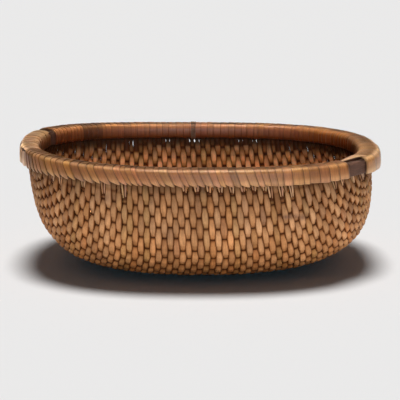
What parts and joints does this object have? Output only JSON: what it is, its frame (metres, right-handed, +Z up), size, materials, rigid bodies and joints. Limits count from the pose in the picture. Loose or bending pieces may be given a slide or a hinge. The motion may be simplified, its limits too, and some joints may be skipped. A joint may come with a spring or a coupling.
{
  "type": "willow grain basket",
  "caption": "Deep oval grain basket: peeled willow rods woven over and under hemp cords, with two bent rim hoops wrapped in overlapping flat splints and bound at both ends.",
  "frame": {"origin": "on the ground plane, under the middle of the basket's bounding box", "axes": "+X along the basket's length, +Y towards its back, +Z up through the open top"},
  "size_m": [0.61, 0.512, 0.2051],
  "materials": {
    "willow": "peeled willow, aged tan to orange brown, satin where handled",
    "hemp": "twisted hemp cord, darkened, matt",
    "hoop_wood": "dark brown bent strip with lengthways grain, matt",
    "rim_splint": "flat splint, honey to orange brown, smooth and slightly glossy from handling",
    "end_splint": "broad weathered splint, grey brown"
  },
  "bodies": {
    "root": {"willow_rods_01": "willow", "willow_rods_02": "willow", "willow_rods_03": "willow", "willow_rods_04": "willow", "willow_rods_05": "willow", "willow_rods_06": "willow", "willow_rods_07": "willow", "willow_rods_08": "willow", "willow_rods_09": "willow", "willow_rods_10": "willow", "willow_rods_11": "willow", "willow_rods_12": "willow", "willow_rods_13": "willow", "willow_rods_14": "willow", "willow_rods_15": "willow", "willow_rods_16": "willow", "hemp_cord_01": "hemp", "hemp_cord_02": "hemp", "hemp_cord_03": "hemp", "hemp_cord_04": "hemp", "hemp_cord_05": "hemp", "hemp_cord_06": "hemp", "hemp_cord_07": "hemp", "hemp_cord_08": "hemp", "hemp_cord_09": "hemp", "hemp_cord_10": "hemp", "hemp_cord_11": "hemp", "hemp_cord_12": "hemp", "hemp_cord_13": "hemp", "hemp_cord_14": "hemp", "hemp_cord_15": "hemp", "hemp_cord_16": "hemp", "hemp_cord_17": "hemp", "hemp_cord_18": "hemp", "hemp_cord_19": "hemp", "hemp_cord_20": "hemp", "hemp_cord_21": "hemp", "hemp_cord_22": "hemp", "hemp_cord_23": "hemp", "hemp_cord_24": "hemp", "hemp_cord_25": "hemp", "hemp_cord_26": "hemp", "hemp_cord_27": "hemp", "hemp_cord_28": "hemp", "hemp_cord_29": "hemp", "hemp_cord_30": "hemp", "hemp_cord_31": "hemp", "hemp_cord_32": "hemp", "hemp_cord_33": "hemp", "hemp_cord_34": "hemp", "hemp_cord_35": "hemp", "hemp_cord_36": "hemp", "hemp_cord_37": "hemp", "outer_hoop": "hoop_wood", "inner_hoop": "hoop_wood", "rim_wrap_front": "rim_splint", "rim_wrap_back": "rim_splint", "end_binding_left": "end_splint", "end_binding_right": "end_splint", "rim_tie": "hemp"}
  },
  "joints": []
}
